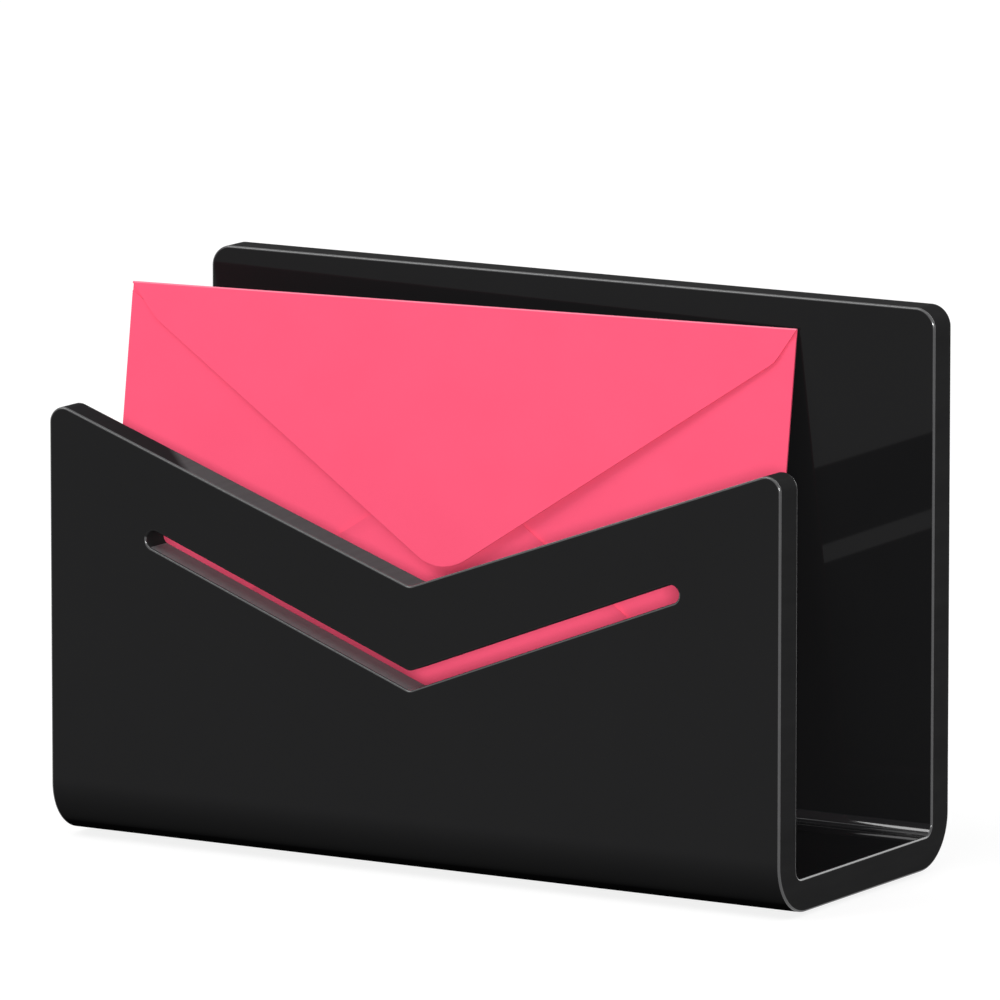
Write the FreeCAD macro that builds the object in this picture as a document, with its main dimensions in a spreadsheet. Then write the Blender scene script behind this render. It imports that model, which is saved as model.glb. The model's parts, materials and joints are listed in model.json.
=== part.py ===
import FreeCAD, Part
import math
import os
import Sketcher

# Letter holder bent from one thick acrylic sheet, with an envelope standing in it.
# Millimetres. +Z is up, +X runs along the letters, the front wall faces -Y.
# The origin is on the table under the middle of the holder's floor.

# Driving sizes

SIZES = {
    # holder
    "holder_width": 236.0,
    "holder_depth": 94.5,
    "sheet_thickness": 9.5,
    "back_wall_height": 157.0,
    "front_end_height": 124.0,
    "notch_low_height": 81.5,
    "bend_outer_radius": 15.0,
    "bend_inner_radius": 3.0,
    "back_corner_radius": 6.0,
    "front_corner_radius": 4.5,
    "notch_root_radius": 3.0,
    "notch_arm_share": 1.1,
    "arris_radius": 0.55,
    # chevron slot, measured on its centre line
    "slot_width": 5.1,
    "slot_low_height": 55.0,
    "slot_end_height": 87.0,
    "slot_half_span": 83.5,
    "slot_root_radius": 2.5,
    "cut_overrun": 2.0,
    # bumpers under the floor
    "bumper_diameter": 8.0,
    "bumper_height": 1.2,
    "bumper_edge_chamfer": 0.4,
    "bumper_end_inset": 22.0,
    "bumper_bend_inset": 9.0,
    # envelope
    "paper_thickness": 0.3,
    "envelope_width": 206.4,
    "envelope_height": 140.4,
    "envelope_shift": 25.5,
    "rest_clearance": 0.3,
    "top_flap_reach": 76.2,
    "top_flap_shift": 1.2,
    "top_flap_tip_radius": 13.0,
    "top_flap_shoulder_inset": 7.0,
    "top_flap_shoulder_drop": 9.55,
    "top_flap_shoulder_radius": 14.0,
    "bottom_flap_reach": 95.8,
    "bottom_flap_side_inset": 1.5,
    "bottom_flap_shoulder_height": 27.4,
    "bottom_flap_tip_radius": 2.5,
    "bottom_flap_tip_shift": 1.4,
    "side_flap_reach": 90.2,
    "side_flap_apex_height": 78.0,
    "side_flap_top_drop": 2.5,
    "side_flap_bottom_rise": 4.0,
    "side_flap_tip_radius": 8.0,
}

# Driving angles, in degrees
ANGLES = {
    "envelope_yaw_angle": 5.8,
    "envelope_lean_angle": 10.05,
    "top_flap_lift_angle": 1.0,
}

SHEET_NAME = "Sizes"

# Faces that meet at more than this angle, in degrees, have a sharp edge
SHARP_ANGLE = 10.0


class Size:
    """A value with the spreadsheet expression that gives it."""

    def __init__(self, value, text):
        self.value = float(value)
        self.text = text

    @staticmethod
    def of(other):
        if isinstance(other, Size):
            return other
        return Size(other, repr(float(other)))

    def joined(self, other, sign, value):
        return Size(value, "(%s %s %s)" % (self.text, sign, Size.of(other).text))

    def __add__(self, other):
        return self.joined(other, "+", self.value + Size.of(other).value)

    def __sub__(self, other):
        return self.joined(other, "-", self.value - Size.of(other).value)

    def __mul__(self, other):
        return self.joined(other, "*", self.value * Size.of(other).value)

    def __truediv__(self, other):
        return self.joined(other, "/", self.value / Size.of(other).value)

    def __neg__(self):
        return Size(-self.value, "(-%s)" % self.text)


ZERO = Size(0, "0")


def sine(angle):
    return Size(math.sin(math.radians(angle.value)), "sin(%s)" % angle.text)


def cosine(angle):
    return Size(math.cos(math.radians(angle.value)), "cos(%s)" % angle.text)


def make_sheet(doc):
    """Write the driving values into the document's spreadsheet, one alias each."""
    sheet = doc.addObject("Spreadsheet::Sheet", SHEET_NAME)
    named = {}
    for row, (alias, value) in enumerate(list(SIZES.items()) + list(ANGLES.items()), 1):
        sheet.set("A%d" % row, alias)
        sheet.set("B%d" % row, str(value))
        sheet.setAlias("B%d" % row, alias)
        named[alias] = Size(value, "%s.%s" % (SHEET_NAME, alias))
    doc.recompute()
    return named


def bind(thing, prop, size):
    thing.setExpression(prop, size.text)


def origin_plane(body, role):
    for feature in body.Origin.OriginFeatures:
        if feature.Role == role:
            return feature
    raise RuntimeError("no plane " + role)


def new_sketch(body, name, role, offset=None):
    """Attach a sketch to one of the body's planes, moved along the plane's normal."""
    sketch = body.newObject("Sketcher::SketchObject", name)
    sketch.AttachmentSupport = [(origin_plane(body, role), "")]
    sketch.MapMode = "FlatFace"
    if offset is not None:
        bind(sketch, "AttachmentOffset.Base.z", offset)
    return sketch


def corner_arc(before, corner, after, radius):
    """Tangent points, centre and sweep of the arc that rounds one corner."""
    here = FreeCAD.Vector(*corner)
    back = (FreeCAD.Vector(*before) - here).normalize()
    ahead = (FreeCAD.Vector(*after) - here).normalize()
    half = back.getAngle(ahead) / 2
    start = here + back * (radius / math.tan(half))
    end = here + ahead * (radius / math.tan(half))
    centre = here + (back + ahead).normalize() * (radius / math.sin(half))
    turns_left = back.cross(ahead).z < 0
    return start, end, centre, turns_left


def draw_outline(sketch, corners, radii):
    """Draw a closed outline of lines and corner arcs, fixed by named sizes.

    corners holds (x, y) pairs of Size, and radii holds a Size or None for each
    corner. A construction point marks each rounded corner's sharp place, so every
    corner is placed by two distances from the sketch's origin.
    """
    count = len(corners)
    flat = [(x.value, y.value, 0.0) for x, y in corners]
    starts, ends, arcs = [], [], {}
    for i in range(count):
        if radii[i] is None:
            starts.append(FreeCAD.Vector(*flat[i]))
            ends.append(FreeCAD.Vector(*flat[i]))
        else:
            start, end, centre, left = corner_arc(
                flat[i - 1], flat[i], flat[(i + 1) % count], radii[i].value)
            starts.append(start)
            ends.append(end)
            arcs[i] = (centre, left)
    lines = []
    for i in range(count):
        line = Part.LineSegment(ends[i], starts[(i + 1) % count])
        lines.append(sketch.addGeometry(line, False))
    rules = []
    for i in range(count):
        before = lines[i - 1]
        after = lines[i]
        x, y = corners[i]
        if radii[i] is None:
            rules.append(Sketcher.Constraint("Coincident", before, 2, after, 1))
            place_point(sketch, rules, after, 1, x, y)
            continue
        centre, left = arcs[i]
        radius = radii[i].value
        circle = Part.Circle(centre, FreeCAD.Vector(0, 0, 1), radius)
        first, last = (starts[i], ends[i]) if left else (ends[i], starts[i])
        arc = Part.ArcOfCircle(circle, circle.parameter(first), circle.parameter(last))
        arc_index = sketch.addGeometry(arc, False)
        mark = sketch.addGeometry(Part.Point(FreeCAD.Vector(*flat[i])), True)
        first_end, last_end = (1, 2) if left else (2, 1)
        rules.append(Sketcher.Constraint("Tangent", before, 2, arc_index, first_end))
        rules.append(Sketcher.Constraint("Tangent", arc_index, last_end, after, 1))
        rules.append(Sketcher.Constraint("PointOnObject", mark, 1, before))
        rules.append(Sketcher.Constraint("PointOnObject", mark, 1, after))
        place_point(sketch, rules, mark, 1, x, y)
        rules.append((Sketcher.Constraint("Radius", arc_index, radius), radii[i]))
    apply_rules(sketch, rules)


def apply_rules(sketch, rules):
    """Add constraints; one paired with a size is driven by that size's expression."""
    for rule in rules:
        if isinstance(rule, tuple):
            constraint, size = rule
            index = sketch.addConstraint(constraint)
            if size is not ZERO:
                sketch.setExpression("Constraints[%d]" % index, size.text)
        else:
            sketch.addConstraint(rule)


def place_point(sketch, rules, geometry, end, x, y):
    """Hold one point at x and y from the sketch's origin."""
    rules.append((Sketcher.Constraint("DistanceX", -1, 1, geometry, end, x.value), x))
    rules.append((Sketcher.Constraint("DistanceY", -1, 1, geometry, end, y.value), y))


def draw_slot(sketch, low, end_x, end_z, width, root_radius):
    """Draw a chevron slot with round ends about its centre line.

    The centre line runs from one end's centre down to (0, low) and up to the other.
    """
    rise = math.hypot(end_x.value, end_z.value - low.value)
    across = FreeCAD.Vector(end_z.value - low.value, -end_x.value, 0) / rise
    half = width.value / 2
    rules = []
    apex = FreeCAD.Vector(0, low.value, 0)
    right = FreeCAD.Vector(end_x.value, end_z.value, 0)
    left = FreeCAD.Vector(-end_x.value, end_z.value, 0)
    flipped = FreeCAD.Vector(-across.x, across.y, 0)
    reach = half * rise / end_x.value

    centres = []
    for side, end in ((1, right), (-1, left)):
        line = sketch.addGeometry(Part.LineSegment(apex, end), True)
        centres.append(line)
        place_point(sketch, rules, line, 1, ZERO, low)
        place_point(sketch, rules, line, 2, end_x if side > 0 else -end_x, end_z)

    roots = []
    for drop in (-1, 1):
        corner = FreeCAD.Vector(0, low.value + drop * reach, 0)
        roots.append(corner_arc(
            tuple(left + flipped * (-drop * half)), tuple(corner),
            tuple(right + across * (-drop * half)), root_radius.value))

    sides = []
    for drop, (start, finish, centre, _) in zip((-1, 1), roots):
        sides.append(sketch.addGeometry(
            Part.LineSegment(left + flipped * (-drop * half), start), False))
        sides.append(sketch.addGeometry(
            Part.LineSegment(finish, right + across * (-drop * half)), False))
    for line in sides[0::2]:
        rules.append(Sketcher.Constraint("Parallel", line, centres[1]))
    for line in sides[1::2]:
        rules.append(Sketcher.Constraint("Parallel", line, centres[0]))

    for index, (start, finish, centre, _) in enumerate(roots):
        circle = Part.Circle(centre, FreeCAD.Vector(0, 0, 1), root_radius.value)
        arc = sketch.addGeometry(Part.ArcOfCircle(
            circle, circle.parameter(start), circle.parameter(finish)), False)
        rules.append(Sketcher.Constraint("Tangent", sides[2 * index], 2, arc, 1))
        rules.append(Sketcher.Constraint("Tangent", arc, 2, sides[2 * index + 1], 1))
        rules.append((Sketcher.Constraint("Radius", arc, root_radius.value), root_radius))

    ends = ((right, across, sides[1], 2, sides[3], 2, centres[0]),
            (left, flipped * -1, sides[2], 1, sides[0], 1, centres[1]))
    for end, below, first, first_end, last, last_end, middle in ends:
        circle = Part.Circle(end, FreeCAD.Vector(0, 0, 1), half)
        arc = sketch.addGeometry(Part.ArcOfCircle(
            circle, circle.parameter(end + below * half),
            circle.parameter(end - below * half)), False)
        rules.append(Sketcher.Constraint("Tangent", first, first_end, arc, 1))
        rules.append(Sketcher.Constraint("Tangent", arc, 2, last, last_end))
        rules.append(Sketcher.Constraint("Coincident", arc, 3, middle, 2))
    rules.append((Sketcher.Constraint("Radius", arc, half), width / 2))
    apply_rules(sketch, rules)


def add_pad(body, name, sketch, length, symmetric=False):
    pad = body.newObject("PartDesign::Pad", name)
    pad.Profile = sketch
    bind(pad, "Length", length)
    if symmetric:
        pad.SideType = "Symmetric"
    body.Document.recompute()
    return pad


def cut_front_wall(body, name, sketch, size):
    """Cut a sketch drawn before the front wall right through that wall."""
    before = body.Tip.Shape.Volume
    pocket = body.newObject("PartDesign::Pocket", name)
    pocket.Profile = sketch
    bind(pocket, "Length", size["sheet_thickness"] + size["cut_overrun"] * 2)
    body.Document.recompute()
    if pocket.Shape.Volume >= before:
        raise RuntimeError(name + " removed nothing")
    return pocket


def round_edges(body, name, edges, radius):
    base = body.Tip
    fillet = body.newObject("PartDesign::Fillet", name)
    fillet.Base = (base, edges)
    bind(fillet, "Radius", radius)
    body.Document.recompute()
    return fillet


def edges_at(shape, points):
    """Names of the edges whose middles lie at the given points."""
    names = []
    for point in points:
        middle = FreeCAD.Vector(*[part.value for part in point])
        nearest = min(range(len(shape.Edges)),
                      key=lambda i: shape.Edges[i].CenterOfMass.distanceToPoint(middle))
        names.append("Edge%d" % (nearest + 1))
    return names


def sharp_edges(shape):
    """Names of the edges where two faces meet at more than SHARP_ANGLE."""
    names = []
    for number, edge in enumerate(shape.Edges, 1):
        faces = shape.ancestorsOfType(edge, Part.Face)
        if len(faces) != 2:
            continue
        middle = edge.valueAt((edge.FirstParameter + edge.LastParameter) / 2)
        normals = []
        for face in faces:
            u, v = face.Surface.parameter(middle)
            normals.append(face.normalAt(u, v))
        if math.degrees(normals[0].getAngle(normals[1])) > SHARP_ANGLE:
            names.append("Edge%d" % number)
    return names


# Holder

def make_holder(doc, size):
    """One sheet bent into a U, with a vee notch and a chevron slot in its front wall."""
    half_width = size["holder_width"] / 2
    half_depth = size["holder_depth"] / 2
    thick = size["sheet_thickness"]
    foot = size["bumper_height"]
    body = doc.addObject("PartDesign::Body", "holder")
    body.Label = "holder"

    profile = new_sketch(body, "holder_profile", "YZ_Plane")
    top = foot + size["back_wall_height"]
    outer = size["bend_outer_radius"]
    inner = size["bend_inner_radius"]
    corners = [
        (-half_depth, foot),
        (half_depth, foot),
        (half_depth, top),
        (half_depth - thick, top),
        (half_depth - thick, foot + thick),
        (thick - half_depth, foot + thick),
        (thick - half_depth, top),
        (-half_depth, top),
    ]
    draw_outline(profile, corners, [outer, outer, None, None, inner, inner, None, None])
    add_pad(body, "holder_sheet", profile, size["holder_width"], symmetric=True)

    # the front wall's top runs down from both ends to the middle in a vee
    before_wall = half_depth + size["cut_overrun"]
    low = foot + size["notch_low_height"]
    end = foot + size["front_end_height"]
    share = size["notch_arm_share"]
    arm_x = half_width * share
    arm_z = low + (end - low) * share
    over = top + size["cut_overrun"]
    notch = new_sketch(body, "notch_outline", "XZ_Plane", before_wall)
    draw_outline(
        notch,
        [(ZERO, low), (arm_x, arm_z), (arm_x, over), (-arm_x, over), (-arm_x, arm_z)],
        [size["notch_root_radius"], None, None, None, None])
    cut_front_wall(body, "front_notch", notch, size)

    slot = new_sketch(body, "slot_outline", "XZ_Plane", before_wall)
    draw_slot(slot, foot + size["slot_low_height"], size["slot_half_span"],
              foot + size["slot_end_height"], size["slot_width"], size["slot_root_radius"])
    cut_front_wall(body, "front_slot", slot, size)

    middle = thick / 2 - half_depth
    front = [(half_width, middle, end), (-half_width, middle, end)]
    back = [(half_width, -middle, top), (-half_width, -middle, top)]
    round_edges(body, "front_corners", edges_at(body.Tip.Shape, front),
                size["front_corner_radius"])
    round_edges(body, "back_corners", edges_at(body.Tip.Shape, back),
                size["back_corner_radius"])
    round_edges(body, "arrises", sharp_edges(body.Tip.Shape), size["arris_radius"])
    return body


def make_bumper(doc, size, name, side, row):
    """A low disc under the floor; side is -1 left or 1 right, row -1 front or 1 back."""
    radius = size["bumper_diameter"] / 2
    edge = size["bumper_edge_chamfer"]
    height = size["bumper_height"]
    body = doc.addObject("PartDesign::Body", name)
    body.Label = name
    profile = new_sketch(body, name + "_profile", "XZ_Plane")
    corners = [
        (ZERO, ZERO),
        (radius - edge, ZERO),
        (radius, edge),
        (radius, height),
        (ZERO, height),
    ]
    draw_outline(profile, corners, [None] * len(corners))
    turned = body.newObject("PartDesign::Revolution", name + "_disc")
    turned.Profile = profile
    turned.ReferenceAxis = (profile, ["V_Axis"])
    turned.Angle = 360.0
    across = size["holder_width"] / 2 - size["bumper_end_inset"]
    along = size["holder_depth"] / 2 - size["bend_outer_radius"] - size["bumper_bend_inset"]
    bind(body, "Placement.Base.x", across if side > 0 else -across)
    bind(body, "Placement.Base.y", along if row > 0 else -along)
    doc.recompute()
    return body


# Envelope

class Stance:
    """How the envelope stands: turned about the upright axis, then leaned back.

    Its own x runs along the letters, y towards the back and z up. The base is the
    middle of the address panel's lower edge. The top right corner rests a clearance
    before the back wall, and the lower edge a clearance above the floor.
    """

    def __init__(self, size):
        self.turn = size["envelope_yaw_angle"]
        self.lean = size["envelope_lean_angle"]
        paper = size["paper_thickness"]
        wall = size["holder_depth"] / 2 - size["sheet_thickness"] - size["rest_clearance"]
        corner_back = paper * cosine(self.lean) + size["envelope_height"] * sine(self.lean)
        corner_side = size["envelope_width"] / 2 * sine(self.turn)
        floor = size["bumper_height"] + size["sheet_thickness"]
        self.base = (
            -size["envelope_shift"],
            wall - corner_side - corner_back * cosine(self.turn),
            floor + size["rest_clearance"] + paper * sine(self.lean),
        )

    def point(self, y, z):
        """Where a point in the envelope's middle plane stands on the table."""
        back = y * cosine(self.lean) + z * sine(self.lean)
        rise = z * cosine(self.lean) - y * sine(self.lean)
        return (
            self.base[0] - back * sine(self.turn),
            self.base[1] + back * cosine(self.turn),
            self.base[2] + rise,
        )

    def place(self, body, base, lean):
        spot = "vector(%s; %s; %s)" % tuple(part.text for part in base)
        turn = "rotation(vector(0; 0; 1); %s)" % self.turn.text
        tilt = "rotation(vector(1; 0; 0); %s)" % (-lean).text
        body.setExpression("Placement", "placement(%s; %s * %s)" % (spot, turn, tilt))
        body.Document.recompute()


def make_address_panel(doc, size, stance):
    half = size["envelope_width"] / 2
    body = doc.addObject("PartDesign::Body", "address_panel")
    body.Label = "address_panel"
    outline = new_sketch(body, "panel_outline", "XZ_Plane", -size["paper_thickness"])
    corners = [
        (-half, ZERO),
        (half, ZERO),
        (half, size["envelope_height"]),
        (-half, size["envelope_height"]),
    ]
    draw_outline(outline, corners, [None] * len(corners))
    add_pad(body, "panel_sheet", outline, size["paper_thickness"])
    stance.place(body, stance.base, stance.lean)
    return body


def make_side_flap(doc, size, stance, name, side):
    """A side flap with a rounded tip, folded in from one end; side is -1 or 1."""
    half = size["envelope_width"] / 2
    fold = half if side > 0 else -half
    tip = half - size["side_flap_reach"] if side > 0 else size["side_flap_reach"] - half
    body = doc.addObject("PartDesign::Body", name)
    body.Label = name
    outline = new_sketch(body, name + "_outline", "XZ_Plane")
    corners = [
        (fold, size["envelope_height"] - size["side_flap_top_drop"]),
        (fold, size["side_flap_bottom_rise"]),
        (tip, size["side_flap_apex_height"]),
    ]
    draw_outline(outline, corners, [None, None, size["side_flap_tip_radius"]])
    add_pad(body, name + "_sheet", outline, size["paper_thickness"])
    stance.place(body, stance.base, stance.lean)
    return body


def make_bottom_flap(doc, size, stance):
    """The bottom flap over both side flaps, with its fold along the lower edge."""
    paper = size["paper_thickness"]
    half = size["envelope_width"] / 2 - size["bottom_flap_side_inset"]
    shoulder = size["bottom_flap_shoulder_height"]
    body = doc.addObject("PartDesign::Body", "bottom_flap")
    body.Label = "bottom_flap"
    outline = new_sketch(body, "bottom_flap_outline", "XZ_Plane", paper)
    corners = [
        (-half, ZERO),
        (half, ZERO),
        (half, shoulder),
        (size["bottom_flap_tip_shift"], size["bottom_flap_reach"]),
        (-half, shoulder),
    ]
    draw_outline(outline, corners, [None, None, None, size["bottom_flap_tip_radius"], None])
    add_pad(body, "bottom_flap_sheet", outline, paper)
    fold = new_sketch(body, "bottom_fold_outline", "XZ_Plane")
    corners = [(-half, ZERO), (half, ZERO), (half, paper), (-half, paper)]
    draw_outline(fold, corners, [None] * len(corners))
    add_pad(body, "bottom_fold", fold, paper)
    stance.place(body, stance.base, stance.lean)
    return body


def make_top_flap(doc, size, stance):
    """The pointed top flap hanging open a little from its fold."""
    paper = size["paper_thickness"]
    half = size["envelope_width"] / 2
    shoulder_x = half - size["top_flap_shoulder_inset"]
    shoulder_z = -size["top_flap_shoulder_drop"]
    shift = size["top_flap_shift"]
    body = doc.addObject("PartDesign::Body", "top_flap")
    body.Label = "top_flap"
    outline = new_sketch(body, "top_flap_outline", "XZ_Plane")
    corners = [
        (-half, ZERO),
        (shift - shoulder_x, shoulder_z),
        (shift, -size["top_flap_reach"]),
        (shift + shoulder_x, shoulder_z),
        (half, ZERO),
    ]
    shoulder = size["top_flap_shoulder_radius"]
    draw_outline(outline, corners,
                 [None, shoulder, size["top_flap_tip_radius"], shoulder, None])
    add_pad(body, "top_flap_sheet", outline, paper, symmetric=True)
    roll = new_sketch(body, "fold_roll_outline", "YZ_Plane")
    ring = roll.addGeometry(
        Part.Circle(FreeCAD.Vector(0, 0, 0), FreeCAD.Vector(0, 0, 1), paper.value), False)
    rules = [
        Sketcher.Constraint("Coincident", ring, 3, -1, 1),
        (Sketcher.Constraint("Radius", ring, paper.value), paper),
    ]
    apply_rules(roll, rules)
    add_pad(body, "fold_roll", roll, size["envelope_width"], symmetric=True)
    gap = paper / 2 + paper + size["rest_clearance"]
    hinge = stance.point(-gap, size["envelope_height"] - paper)
    stance.place(body, hinge, stance.lean + size["top_flap_lift_angle"])
    return body


def check(doc, bodies):
    for thing in doc.Objects:
        if "Invalid" in thing.State or "Error" in thing.State:
            raise RuntimeError("%s is %s" % (thing.Name, thing.State))
    for body in bodies:
        shape = body.Shape
        if shape.isNull() or not shape.isValid() or len(shape.Solids) != 1:
            raise RuntimeError(body.Label + " is not one valid solid")


def main():
    doc = FreeCAD.newDocument("letter_holder")
    size = make_sheet(doc)
    bodies = [make_holder(doc, size)]
    for side, side_name in ((-1, "left"), (1, "right")):
        for row, row_name in ((-1, "front"), (1, "back")):
            name = "bumper_%s_%s" % (row_name, side_name)
            bodies.append(make_bumper(doc, size, name, side, row))
    stance = Stance(size)
    bodies.append(make_address_panel(doc, size, stance))
    bodies.append(make_side_flap(doc, size, stance, "side_flap_left", -1))
    bodies.append(make_side_flap(doc, size, stance, "side_flap_right", 1))
    bodies.append(make_bottom_flap(doc, size, stance))
    bodies.append(make_top_flap(doc, size, stance))
    doc.recompute()
    check(doc, bodies)
    os.makedirs("parts", exist_ok=True)
    for body in bodies:
        body.Shape.exportStep("parts/%s.step" % body.Label)


main()
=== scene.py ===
"""Letter holder bent from thick black acrylic, with a pink envelope standing in it.

Metres. +Z is up, +X runs along the letters, the low front wall faces -Y.
"""

import json
import logging
import math
from dataclasses import dataclass, field
from enum import Enum, IntEnum
from typing import Any, Callable, Iterable, Sequence

import bmesh
import bpy
from mathutils import Matrix, Vector


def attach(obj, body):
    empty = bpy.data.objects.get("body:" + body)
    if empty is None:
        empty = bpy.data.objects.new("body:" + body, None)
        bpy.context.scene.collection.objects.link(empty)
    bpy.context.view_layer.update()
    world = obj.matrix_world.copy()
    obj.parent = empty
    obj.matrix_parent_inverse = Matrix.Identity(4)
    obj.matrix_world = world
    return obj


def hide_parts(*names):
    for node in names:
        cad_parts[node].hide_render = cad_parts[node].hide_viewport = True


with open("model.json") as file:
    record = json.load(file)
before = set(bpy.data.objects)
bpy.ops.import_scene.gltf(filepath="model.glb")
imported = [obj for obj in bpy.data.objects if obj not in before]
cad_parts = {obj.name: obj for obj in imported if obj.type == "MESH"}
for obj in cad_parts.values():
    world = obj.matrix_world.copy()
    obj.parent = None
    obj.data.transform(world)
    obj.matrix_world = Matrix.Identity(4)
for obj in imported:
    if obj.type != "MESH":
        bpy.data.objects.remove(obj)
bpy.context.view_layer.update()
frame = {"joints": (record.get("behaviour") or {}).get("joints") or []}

LOG = logging.getLogger("letter_holder")
MM = 0.001
SAME_PLACE = 1e-7
CUT_SNAP = 1e-8
ON_FACE = 1e-6
SAME_KIND = 0.1
FACING_UP = 0.5
WHITE = (1.0, 1.0, 1.0, 1.0)
# The colour sockets of a Mix node, which share their names with its other sockets.
MIX_SHARE, MIX_LOW, MIX_HIGH, MIX_RESULT = 0, 6, 7, 2

Colour = tuple[float, float, float]
Spot = tuple[float, float, float]
Sockets = dict[str | int, Any]


# ---- node trees


def arithmetic(operation: str, reflected: bool = False) -> Callable[["Wire", "Number"], "Wire"]:
    """Make one of a wire's arithmetic methods.

    Args:
        operation: the Math node's operation.
        reflected: whether the other value comes first.

    Returns:
        The method.
    """
    def apply(wire: "Wire", other: "Number") -> "Wire":
        """Add the Math node."""
        return wire.tree.math(operation, *((other, wire) if reflected else (wire, other)))

    return apply


class Wire:
    """One output socket of a node tree, on which arithmetic adds Math nodes."""

    def __init__(self, tree: "TreeMaker", socket: bpy.types.NodeSocket) -> None:
        """Keep the socket and the maker of its tree."""
        self.tree = tree
        self.socket = socket

    def __abs__(self) -> "Wire":
        """Size without the sign."""
        return self.tree.math("ABSOLUTE", self)

    __add__ = arithmetic("ADD")
    __radd__ = arithmetic("ADD", reflected=True)
    __sub__ = arithmetic("SUBTRACT")
    __rsub__ = arithmetic("SUBTRACT", reflected=True)
    __mul__ = arithmetic("MULTIPLY")
    __rmul__ = arithmetic("MULTIPLY", reflected=True)
    __truediv__ = arithmetic("DIVIDE")
    __rtruediv__ = arithmetic("DIVIDE", reflected=True)


Number = Wire | float


class TreeMaker:
    """Adds nodes and links to one shader or geometry tree."""

    def __init__(self, tree: bpy.types.NodeTree) -> None:
        """Empty the tree that is to be filled."""
        self.tree = tree
        self.tree.nodes.clear()

    def node(self, kind: str, sockets: Sockets | None = None,
             **settings: Any) -> bpy.types.Node:
        """Add one node.

        Args:
            kind: the node's type.
            sockets: a value or a Wire for each input, by name or number.
            settings: the node's own properties, which are set first.

        Returns:
            The new node.
        """
        made = self.tree.nodes.new(kind)
        for name, value in settings.items():
            setattr(made, name, value)
        for key, value in (sockets or {}).items():
            if isinstance(value, Wire):
                self.tree.links.new(value.socket, made.inputs[key])
            else:
                made.inputs[key].default_value = value
        return made

    def wire(self, kind: str, sockets: Sockets | None = None, output: str | int = 0,
             **settings: Any) -> Wire:
        """Add one node and return the output of that name or number."""
        return Wire(self, self.node(kind, sockets, **settings).outputs[output])

    def math(self, operation: str, *values: Number) -> Wire:
        """Add one Math node with its values in order."""
        return self.wire("ShaderNodeMath", dict(enumerate(values)), operation=operation)

    def share(self, value: Number) -> Wire:
        """Hold a value between 0 and 1."""
        return self.math("MINIMUM", self.math("MAXIMUM", value, 0.0), 1.0)

    def split(self, vector: Wire) -> list[Wire]:
        """Take a vector apart into x, y and z."""
        axes = self.node("ShaderNodeSeparateXYZ", {0: vector})
        return [Wire(self, socket) for socket in axes.outputs]

    def vector(self, *axes: Number) -> Wire:
        """Put x, y and z together into a vector."""
        return self.wire("ShaderNodeCombineXYZ", dict(enumerate(axes)))

    def place(self) -> Wire:
        """Object coordinates."""
        return self.wire("ShaderNodeTexCoord", output="Object")

    def seen(self) -> Wire:
        """A mask for what is seen directly, in gloss or through clear pads.

        Returns:
            1 for such rays and 0 for the rest.
        """
        path = self.node("ShaderNodeLightPath")
        camera, glossy, transmission = (
            Wire(self, path.outputs[f"Is {kind} Ray"])
            for kind in ("Camera", "Glossy", "Transmission"))
        return self.math("MINIMUM", camera + glossy + transmission, 1.0)

    def between(self, share: Wire, low: Colour | Wire, high: Colour) -> Wire:
        """A colour between two.

        Args:
            share: 0 for the first colour, 1 for the second.
            low: the first colour.
            high: the second colour.

        Returns:
            The mixed colour.
        """
        first = low if isinstance(low, Wire) else rgba(low)
        sockets = {MIX_SHARE: share, MIX_LOW: first, MIX_HIGH: rgba(high)}
        return self.wire("ShaderNodeMix", sockets, MIX_RESULT, data_type="RGBA")


# ---- finishes


def rgba(colour: Colour) -> tuple[float, float, float, float]:
    """A colour with full alpha."""
    return (*colour, 1.0)


def new_material(name: str, surface: Callable[[TreeMaker], Wire]) -> bpy.types.Material:
    """Make a node material.

    Args:
        name: the material's name.
        surface: adds its shader to its tree.

    Returns:
        The material.
    """
    made = bpy.data.materials.new(name)
    made.use_nodes = True
    tree = TreeMaker(made.node_tree)
    tree.node("ShaderNodeOutputMaterial", {"Surface": surface(tree)})
    return made


@dataclass(frozen=True)
class Grain:
    """Noise on a surface, and the relief that it makes.

    The scale is in features per metre, the detail in octaves and the depth in metres.
    The roughness is how strong the fine octaves are, and a share of the relief is shown.
    """

    scale: float
    detail: float
    roughness: float = 0.5
    depth: float = 0.0
    shown: float = 1.0
    squeeze: Spot | None = None

    def value(self, tree: TreeMaker) -> Wire:
        """The noise on object coordinates, about 0.5 on average.

        Args:
            tree: the material's tree.

        Returns:
            The noise's value.
        """
        place = tree.place()
        if self.squeeze:
            place = tree.wire("ShaderNodeMapping", {"Vector": place, "Scale": self.squeeze})
        return tree.wire("ShaderNodeTexNoise", {
            "Vector": place, "Scale": self.scale, "Detail": self.detail,
            "Roughness": self.roughness})

    def relief(self, tree: TreeMaker, value: Wire, under: Wire | None = None) -> Wire:
        """The normal that the noise's relief gives.

        Args:
            tree: the material's tree.
            value: the noise's value.
            under: the normal of a broader relief that it lies on, if any.

        Returns:
            The normal.
        """
        sockets: Sockets = {"Height": value, "Distance": self.depth, "Strength": self.shown}
        if under:
            sockets["Normal"] = under
        return tree.wire("ShaderNodeBump", sockets, "Normal")


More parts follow.
